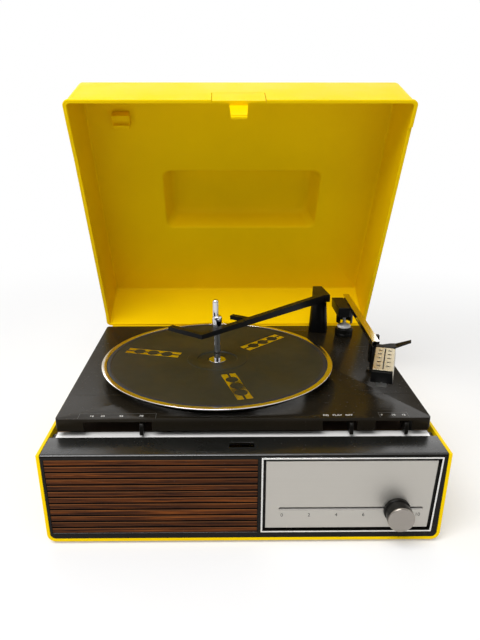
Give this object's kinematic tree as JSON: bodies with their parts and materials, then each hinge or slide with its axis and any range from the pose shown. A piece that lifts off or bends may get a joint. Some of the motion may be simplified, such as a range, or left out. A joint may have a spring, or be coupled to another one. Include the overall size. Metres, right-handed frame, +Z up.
{
  "type": "portable record player",
  "caption": "Portable autochanger record player in a plastic case with a hinged lid, front speaker grille, slide volume control, platter, overarm and tonearm.",
  "frame": {"origin": "middle of the whole model's box, at the level the feet stand on, with the lid open as stored", "axes": "+X to the right seen from the front, +Y away from the viewer towards the hinges, +Z up"},
  "size_m": [0.37, 0.4328, 0.4163],
  "materials": {
    "yellow_plastic": "smooth moulded plastic, low gloss",
    "black_plastic": "fine-grained moulding",
    "deck_paint": "satin black paint on pressed sheet",
    "wood_look": "satin wood-look laminate with dark grooves",
    "brushed_aluminium": "brushed",
    "bright_aluminium": "turned and polished",
    "chrome": "bright plating",
    "mat_rubber": "fine ribbed rubber",
    "black_rubber": "matt",
    "plated_steel": "zinc plated",
    "copper_winding": "varnished copper winding",
    "speaker_paper": "matt pulp paper",
    "ferrite": "matt",
    "circuit_board": "phenolic board",
    "hardboard": "raw pressed board"
  },
  "bodies": {
    "base": {"base_tray": "yellow_plastic", "front_fascia": "black_plastic", "speaker_grille": "wood_look", "panel_bezel": "brushed_aluminium", "control_panel": "brushed_aluminium", "trim_strip": "brushed_aluminium", "slide_potentiometer": "plated_steel", "deck_plate": "deck_paint", "motor_board": "hardboard", "deck_mount_front_left": "black_rubber", "deck_mount_front_right": "black_rubber", "deck_mount_rear_left": "black_rubber", "deck_mount_rear_right": "black_rubber", "spindle": "chrome", "turntable_bearing": "plated_steel", "motor_stator": "ferrite", "motor_coil": "copper_winding", "speaker_frame": "plated_steel", "speaker_cone": "speaker_paper", "speaker_magnet": "ferrite", "amplifier_board": "circuit_board", "filter_capacitor": "brushed_aluminium", "latch_keeper": "plated_steel", "cord_gland": "black_rubber", "foot_front_left": "black_rubber", "foot_front_right": "black_rubber", "foot_rear_left": "black_rubber", "foot_rear_right": "black_rubber", "overarm_post": "black_plastic", "tonearm_base": "black_plastic", "tonearm_pivot_post": "chrome", "arm_rest": "black_plastic", "hinge_fixed_left": "plated_steel", "hinge_fixed_right": "plated_steel"},
    "lid": {"lid_shell": "yellow_plastic", "hinge_lid_left": "plated_steel", "hinge_lid_right": "plated_steel", "spindle_clip": "yellow_plastic"},
    "latch": {"lid_latch": "yellow_plastic"},
    "platter": {"platter": "bright_aluminium", "platter_mat": "mat_rubber", "hub_washer": "chrome"},
    "idler_arm": {"idler_arm": "plated_steel"},
    "idler": {"idler_wheel": "plated_steel", "idler_tyre": "black_rubber"},
    "motor_rotor": {"motor_rotor": "plated_steel"},
    "overarm_shaft": {"overarm_shaft": "chrome"},
    "overarm": {"overarm": "black_plastic"},
    "tonearm_turret": {"tonearm_turret": "black_plastic"},
    "tonearm": {"arm_tube": "brushed_aluminium", "headshell": "black_plastic", "headshell_cover": "brushed_aluminium", "finger_lift": "black_plastic", "cartridge": "black_plastic"},
    "stylus": {"stylus": "plated_steel"},
    "speed_lever": {"speed_lever": "black_plastic"},
    "play_lever": {"play_lever": "black_plastic"},
    "size_lever": {"size_lever": "black_plastic"},
    "volume_knob": {"volume_knob": "black_plastic", "volume_cap": "brushed_aluminium"}
  },
  "joints": [
    {"name": "lid_hinge", "type": "hinge", "parent": "base", "child": "lid", "pos_m": [0, 0.15342, 0.0938], "axis": [-1, 0, 0], "range_deg": [-62, 38]},
    {"name": "latch_pivot", "type": "hinge", "parent": "lid", "child": "latch", "pos_m": [0, 0.02115, 0.40155], "axis": [1, 0, 0], "range_deg": [0, 5], "stiffness_Nm_per_rad": 0.3, "springref_deg": -2.86},
    {"name": "platter_spin", "type": "hinge", "parent": "base", "child": "platter", "pos_m": [-0.0255, -0.04058, 0.1185], "axis": [0, 0, 1], "continuous": true},
    {"name": "idler_lift", "type": "slide", "parent": "base", "child": "idler_arm", "axis": [0, 0, 1], "range_m": [0, 0.0105]},
    {"name": "idler_spin", "type": "hinge", "parent": "idler_arm", "child": "idler", "pos_m": [-0.06526, 0.0342, 0.1054], "axis": [0, 0, 1], "continuous": true},
    {"name": "rotor_spin", "type": "hinge", "parent": "base", "child": "motor_rotor", "pos_m": [-0.08069, 0.01582, 0.09], "axis": [0, 0, 1], "continuous": true},
    {"name": "overarm_lift", "type": "slide", "parent": "base", "child": "overarm_shaft", "axis": [0, 0, 1], "range_m": [0, 0.025]},
    {"name": "overarm_swing", "type": "hinge", "parent": "overarm_shaft", "child": "overarm", "pos_m": [0.1065, 0.08942, 0.1601], "axis": [0, 0, 1], "range_deg": [0, 38]},
    {"name": "tonearm_swing", "type": "hinge", "parent": "base", "child": "tonearm_turret", "pos_m": [0.137, 0.06942, 0.15], "axis": [0, 0, -1], "range_deg": [0, 42]},
    {"name": "tonearm_lift", "type": "hinge", "parent": "tonearm_turret", "child": "tonearm", "pos_m": [0.137, 0.06942, 0.1515], "axis": [-1, 0, 0], "range_deg": [0, 8]},
    {"name": "stylus_turn", "type": "hinge", "parent": "tonearm", "child": "stylus", "pos_m": [0.13735, -0.1221, 0.12756], "axis": [0.2968, 0.9357, 0.1908], "range_deg": [0, 180]},
    {"name": "speed_slide", "type": "slide", "parent": "base", "child": "speed_lever", "axis": [1, 0, 0], "range_m": [-0.047, 0]},
    {"name": "play_slide", "type": "slide", "parent": "base", "child": "play_lever", "axis": [1, 0, 0], "range_m": [-0.0235, 0]},
    {"name": "size_slide", "type": "slide", "parent": "base", "child": "size_lever", "axis": [1, 0, 0], "range_m": [-0.0225, 0]},
    {"name": "volume_slide", "type": "slide", "parent": "base", "child": "volume_knob", "axis": [1, 0, 0], "range_m": [-0.104, 0.02]}
  ],
  "couplings": [
    {"joint": "idler_lift", "follows": "speed_slide", "ratio": -0.2234},
    {"joint": "idler_spin", "follows": "platter_spin", "ratio": 5.4737},
    {"joint": "rotor_spin", "follows": "platter_spin", "ratio": -22.128}
  ]
}
